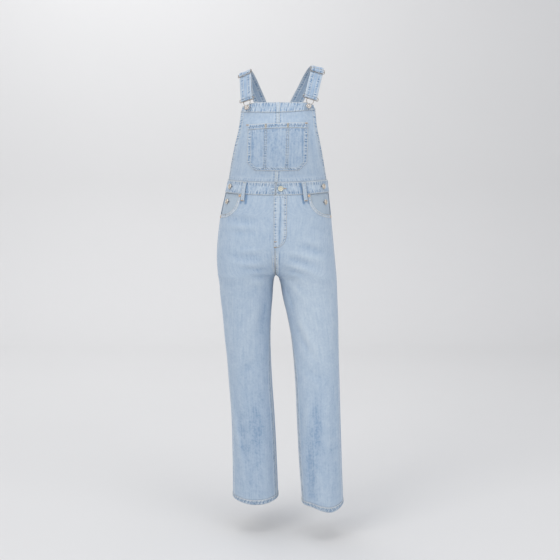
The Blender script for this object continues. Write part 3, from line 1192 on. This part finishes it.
# the strap's layers down to the buckle and back up under it: from which fitting, how far down
# the line, how far off it
outerLayer = (("slider", -0.0280, 0.0), ("slider", -0.0180, -0.0016),
              ("slider", -bars, -layer - 0.0001), ("slider", -0.0050, 0.0024),
              ("slider", 0.0, layer + strapLook["wall"] + 0.0006), ("slider", 0.0050, 0.0018),
              ("slider", bars, -layer - 0.0001), ("slider", 0.0180, -0.0005),
              ("slider", 0.0350, 0.0014), ("buckle", -0.0200, layer + 0.0006),
              ("buckle", -0.0090, layer + 0.0002))
underLayer = (("buckle", -0.0090, -layer - 0.0002), ("buckle", -0.0200, -layer - 0.0010),
              ("slider", 0.0350, -0.0044), ("slider", 0.0180, -0.0046),
              ("slider", bars, -layer - strapLook["wall"] - 0.0009),
              ("slider", 0.0050, -layer - 0.0010))


def walked(points):
    return np.pad(np.linalg.norm(np.diff(points, axis=0), axis=1).cumsum(), (1, 0))


def along(points, step):
    # evenly spaced points on a smooth curve through these
    knots = walked(points)
    return cubic(knots, points, np.linspace(0, knots[-1], max(2, int(knots[-1] / step) + 1)))


strapLines = {}
for side in (right, left):
    rows = np.array(strapRows[side])
    knots = walked(rows[:, :3])
    at = np.linspace(0, knots[-1], 240)
    line = cubic(knots, rows, at)
    strapLines[side] = (at, line[:, :3], line[:, 3:],
                        {"back": 0.0, "slider": knots[7], "buckle": knots[9], "button": knots[10]})


def strapFrame(side, distance):
    # place, run, across and face of the strap at a distance down its line
    at, places, faces, _ = strapLines[side]
    runs = np.gradient(places, at, axis=0)
    place, run, face = [np.array([np.interp(distance, at, v[:, k]) for k in range(3)]).T
                        for v in (places, runs, faces)]
    run = run / np.linalg.norm(run, axis=-1, keepdims=True)
    across = np.cross(face, run)
    across /= np.linalg.norm(across, axis=-1, keepdims=True)
    return place, run, across, np.cross(run, across)


def strapPoint(side, fitting, down, out):
    start = strapLines[side][3][fitting]
    place, _, _, face = strapFrame(side, np.asarray(start + np.asarray(down)))
    return place + face * np.asarray(out)[..., None]


for label, side in sides.items():
    places = strapLines[side][3]
    layers = [np.array([strapPoint(side, *row) for row in rows]) for rows in (outerLayer, underLayer)]
    angle = np.linspace(np.pi / 2, -np.pi / 2, 7)
    fold = strapPoint(side, "buckle", -strapLook["ear"] + strapLook["foldReach"] * np.cos(angle),
                      layer * np.sin(angle))
    angle = np.linspace(-np.pi / 2, -3 * np.pi / 2 + 0.15, 7)
    last = strapPoint(side, "slider", layer * np.cos(angle), layer * np.sin(angle))
    back = strapPoint(side, "back", np.linspace(0, places["slider"] - 0.036, 12), np.zeros(12))
    path = along(np.concatenate([back, along(layers[0], 0.0035), fold, along(layers[1], 0.0050),
                                 last]), strapLook["rowStep"])
    at, line = strapLines[side][:2]
    nearest = np.linalg.norm(path[:, None] - line[None], axis=-1).argmin(axis=1)
    across = strapFrame(side, at[nearest])[2]
    share = np.linspace(-0.5, 0.5, strapLook["columns"])
    points = path[:, None] + across[:, None] * (share * strapLook["width"])[None, :, None]
    fittings = [strapPoint(side, name, d, 0.0) for name, d in
                (("slider", -bars), ("slider", 0.0), ("slider", bars), ("buckle", -0.0095))]
    clear = np.min([np.linalg.norm(path - spot, axis=1) for spot in fittings], axis=0)
    softness = 0.25 + 0.75 * smooth((clear - 0.002) / 0.012)
    band = clothPiece(f"strap{label}", f"strap_{label}", points, strapFrame(side, np.array(0.152))[3],
                      strapDenim, wall=strapLook["wall"], offset=0.0, seams=(1, 1, 0, 0),
                      relief=0.8 * softness[:, None], seed=60.0 + 5 * side,
                      lookRow=80, extraWear=-0.10 + 0.30 * np.exp(
                          -(((np.abs(share) * strapLook["width"] - 0.0165) / 0.0022) ** 2))[None, :]
                      * np.ones((len(path), 1)))
    lift = band["normals"] * (strapLook["wall"] / 2)
    faceUp = {**band, "points": band["points"] + lift}
    stop = int(np.argmin(np.linalg.norm(path - fold[3], axis=1)))
    for edge in ("left", "right"):
        sewAlong(faceUp, edge, (0.0040, 0.0125), stop=stop)
    frameRow, heel = int(0.030 / strapLook["rowStep"]), 2
    for row in (heel, frameRow):
        sew(faceUp["points"][row, 2:-2], faceUp["normals"][row, 2:-2])
print("straps made")


# A round wire: a ring of points carried along a path that lies in one plane
def wireMesh(points, face, closed, radius, ringSides=12, flatness=1.0):
    runs = np.roll(points, -1, 0) - np.roll(points, 1, 0) if closed else np.gradient(points, axis=0)
    runs /= np.linalg.norm(runs, axis=-1, keepdims=True)
    out = np.cross(face, runs)
    angle = np.arange(ringSides) * 2 * np.pi / ringSides
    rings = (points[:, None] + radius * (out[:, None] * np.cos(angle)[None, :, None]
             + face * flatness * np.sin(angle)[None, :, None]))
    count = len(points)
    index = np.arange(count * ringSides).reshape(count, ringSides)
    index = np.concatenate([index, index[:, :1]], axis=1)
    if closed:
        index = np.concatenate([index, index[:1]], axis=0)
    faces = np.stack([index[:-1, :-1], index[1:, :-1], index[1:, 1:], index[:-1, 1:]], axis=-1)
    faces = faces.reshape(-1, 4).tolist()
    if not closed:
        faces += [index[0, :-1].tolist(), index[-1, :-1][::-1].tolist()]
    return rings.reshape(-1, 3), faces


def metalPiece(name, nodes, parts, look):
    vertices, faces = [], []
    for points, shape in parts:
        start = sum(len(v) for v in vertices)
        vertices.append(points)
        faces += [[i + start for i in face] for face in shape]
    mesh = bpy.data.meshes.new(name)
    mesh.from_pydata(np.concatenate(vertices).tolist(), [], faces)
    mesh.shade_smooth()
    mesh.materials.append(look)
    piece = bpy.data.objects.new(name, mesh)
    bpy.context.scene.collection.objects.link(piece)
    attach(piece, "root")
    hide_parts(nodes)
    return piece


def roundedOutline(halfWidth, top, bottom, radius, steps=9):
    found = []
    for x, y, start in ((halfWidth, bottom, 0), (-halfWidth, bottom, 1), (-halfWidth, top, 2),
                        (halfWidth, top, 3)):
        angle = np.linspace(start * np.pi / 2, (start + 1) * np.pi / 2, steps)
        found.append(np.stack([x - np.sign(x) * radius + radius * np.cos(angle),
                               y - np.sign(y - (top + bottom) / 2) * radius
                               + radius * np.sin(angle)], axis=1))
    return np.concatenate(found)


fittings = {"sliderHalf": 0.0225, "buckleHalf": 0.0235, "hookHalf": 0.0105, "neck": 0.0026}
for label, side in sides.items():
    places = strapLines[side][3]

    def laid(fitting, outline):
        place, run, across, face = strapFrame(side, np.array(places[fitting]))
        return place + outline[:, :1] * across + outline[:, 1:] * run, face

    rim, face = laid("slider", roundedOutline(fittings["sliderHalf"], -bars, bars, 0.003))
    middle, _ = laid("slider", np.stack([np.linspace(-1, 1, 12) * fittings["sliderHalf"],
                                         np.zeros(12)], axis=1))
    metalPiece(f"slider{label}", f"slider_{label}",
               [wireMesh(rim, face, True, strapLook["wire"]),
                wireMesh(middle, face, False, strapLook["wire"])], wireMetal)
    rim, face = laid("buckle", roundedOutline(fittings["buckleHalf"], -strapLook["ear"], 0, 0.003))
    reach = places["button"] - places["buckle"]
    hookRadius = fittings["neck"] + strapLook["wire"] + 0.0005
    angle = np.linspace(0, np.pi, 20)
    curve = np.stack([hookRadius * np.cos(angle), reach + hookRadius * np.sin(angle)], axis=1)
    neck = np.array([[fittings["hookHalf"], 0.0], [fittings["hookHalf"], 0.008], [0.0090, 0.0125],
                     [0.0060, 0.0170], [hookRadius, 0.0210]])
    outline = along(np.concatenate([neck, curve, neck[::-1] * [-1, 1]]), 0.0009)
    hook, _ = laid("buckle", outline)
    metalPiece(f"buckle{label}", f"buckle_{label}",
               [wireMesh(rim, face, True, strapLook["wire"]),
                wireMesh(hook, face, False, strapLook["wire"])], wireMetal)

# Turned pieces: a profile of radius and height swept round an axis, closed at both poles
buttonOutline = ((0.0007, 0.0027), (0.0014, 0.0025), (0.0020, 0.0019), (0.0030, 0.0017),
                 (0.0044, 0.0018), (0.0054, 0.0020), (0.0058, 0.0026), (0.0064, 0.0029),
                 (0.0071, 0.0027), (0.0078, 0.0020), (0.0083, 0.0011), (0.0084, 0.0006),
                 (0.0081, 0.0001), (0.0074, -0.0002), (0.0026, -0.0002))
rivetOutline = ((0.0006, 0.0010), (0.0011, 0.0009), (0.0015, 0.0006), (0.0022, 0.0006),
                (0.0028, 0.0008), (0.0036, 0.0006), (0.0042, 0.0001), (0.0044, -0.0003))


def turnedMesh(outline, foot, place, axis, steps=40):
    z = np.asarray(axis, float) / np.linalg.norm(axis)
    x = np.cross([0.0, 0.0, 1.0], z)
    x /= np.linalg.norm(x)
    y = np.cross(z, x)
    rows = np.array((*outline, (outline[-1][0], foot)))
    angle = np.arange(steps) * 2 * np.pi / steps
    spokes = np.cos(angle)[:, None] * x + np.sin(angle)[:, None] * y
    rings = place + rows[:, 0, None, None] * spokes[None] + rows[:, 1, None, None] * z
    poles = np.array([place + z * (outline[0][1] + 0.0001), place + z * foot])
    index = np.arange(len(rows) * steps).reshape(len(rows), steps)
    wrapped = np.concatenate([index, index[:, :1]], axis=1)
    faces = np.stack([wrapped[:-1, :-1], wrapped[1:, :-1], wrapped[1:, 1:], wrapped[:-1, 1:]], -1)
    top, bottom = len(rows) * steps, len(rows) * steps + 1
    fans = [[top, int(a), int(b)] for a, b in zip(wrapped[0, :-1], wrapped[0, 1:])]
    fans += [[bottom, int(b), int(a)] for a, b in zip(wrapped[-1, :-1], wrapped[-1, 1:])]
    return np.concatenate([rings.reshape(-1, 3), poles]), faces.reshape(-1, 4).tolist() + fans


def onGarment(side, angle, z, out):
    angle, z = np.array([float(angle)]), np.array([float(z)])
    return garment(side, angle, z, out)[0], outward(side, angle, z)[0]


waistMiddle = (form["waistTop"] + form["waistBottom"]) / 2
sideAngles = {"waistButton": {right: 26.0, left: 28.5}, "hipButton": {right: 23.5, left: 24.5}}
hipButtonZ = {right: -0.4125, left: -0.4150}
for label, side in sides.items():
    place, _, _, face = strapFrame(side, np.array(strapLines[side][3]["button"]))
    metalPiece(f"bibButton{label}", f"bib_button_{label}",
               [turnedMesh(buttonOutline, -0.0047, place + face * 0.0022, face)], plateMetal)
    for name, node, z, out in (("waistButton", "waist_button", waistMiddle, 0.0026),
                               ("hipButton", "hip_button", hipButtonZ[side], -0.0012)):
        spot, face = onGarment(side, math.radians(sideAngles[name][side]), z, out)
        metalPiece(f"{name}{label}", f"{node}_{label}",
                   [turnedMesh(buttonOutline, -0.0012, spot, face)], buttonMetal)
        # the end of the worked buttonhole shows beside the button, on the side of the front
        toFront = np.cross(face, (0.0, 0.0, side))
        for step, rise in ((0.0108, 0.0012), (0.0120, -0.0012), (0.0132, 0.0010)):
            barTack(spot + toFront * step + np.array([0, 0, rise]) - face * 0.0006,
                    toFront, face, 0.0036, colour="slateThread")
    upper = form["waistBottom"] - 0.005
    top = angleAt(side, np.array(upper), trousers["mouthStart"][side] - 0.006)
    for end, angle, z in (("Upper", float(top), upper),
                          ("Lower", math.radians(11),
                           form["waistBottom"] - trousers["mouthDepth"] - 0.006)):
        spot, face = onGarment(side, angle, z, 0.0011)
        metalPiece(f"rivet{end}{label}", f"rivet_{end.lower()}_{label}",
                   [turnedMesh(rivetOutline, -0.0007, spot, face, 24)], copperMetal)
flyAngle = angleAt(left, np.array(waistMiddle), 0.0155)
spot, face = onGarment(left, float(flyAngle), waistMiddle, 0.0026)
metalPiece("flyButton", "fly_button", [turnedMesh(buttonOutline, -0.0012, spot, face)],
           flyMetal)
barTack(spot + np.array([0.0128, 0, 0.0004]) - face * 0.0006, np.array([1.0, 0, 0]), face, 0.0085)
print("metal made")

buildThreads()

# a sheet of paper: the floor runs back, bends up and rises behind
bendAngle = np.linspace(0, np.pi / 2, 24)
floorLine = np.concatenate([
    [[-6.0, studio["floorZ"]]],
    np.stack([studio["wallY"] - studio["bend"] + studio["bend"] * np.sin(bendAngle),
              studio["floorZ"] + studio["bend"] * (1 - np.cos(bendAngle))], axis=1),
    [[studio["wallY"], 5.0]]])
paperX = np.linspace(-6, 6, 3)
grid = np.stack(np.broadcast_arrays(paperX[None, :], floorLine[:, None, 0], floorLine[:, None, 1]),
                axis=-1)
index = np.arange(grid.shape[0] * 3).reshape(-1, 3)
faces = np.stack([index[:-1, :-1], index[:-1, 1:], index[1:, 1:], index[1:, :-1]], axis=-1)
mesh = bpy.data.meshes.new("paper")
mesh.from_pydata(grid.reshape(-1, 3).tolist(), [], faces.reshape(-1, 4).tolist())
mesh.shade_smooth()
paperLook = Graph("paperLook")
mottle = paperLook.noise(paperLook.node("ShaderNodeTexCoord")[3], 2.0, 2.0, 0.5)
paperTone = studio["paper"]
mesh.materials.append(paperLook.finish(
    Base_Color=paperLook.mix(tuple(v * 0.985 for v in paperTone), paperTone, mottle),
    Roughness=0.95))
paper = bpy.data.objects.new("paper", mesh)
bpy.context.scene.collection.objects.link(paper)

for name, spot, aim, size, watts, colour in studioLamps:
    lamp = bpy.data.lights.new(name, "AREA")
    lamp.shape, lamp.size, lamp.energy, lamp.color = "SQUARE", size, watts, colour
    holder = bpy.data.objects.new(name, lamp)
    bpy.context.scene.collection.objects.link(holder)
    holder.location = spot
    holder.rotation_euler = (Vector(aim) - Vector(spot)).to_track_quat("-Z", "Y").to_euler()
world = bpy.data.worlds.new("room")
world.use_nodes = True
sky = world.node_tree.nodes["Background"]
sky.inputs["Color"].default_value = (*studio["world"], 1)
sky.inputs["Strength"].default_value = studio["worldStrength"]
bpy.context.scene.world = world
bpy.context.scene.view_settings.view_transform = "Standard"

lens = bpy.data.cameras.new("camera")
lens.lens, lens.sensor_width = studio["lensMm"], 36.0
eye = bpy.data.objects.new("camera", lens)
eye.location = studio["camera"]
eye.rotation_euler = (math.radians(90 - studio["pitchDeg"]), 0, 0)
bpy.context.scene.collection.objects.link(eye)
bpy.context.scene.camera = eye
print("stage, lamps and camera set")
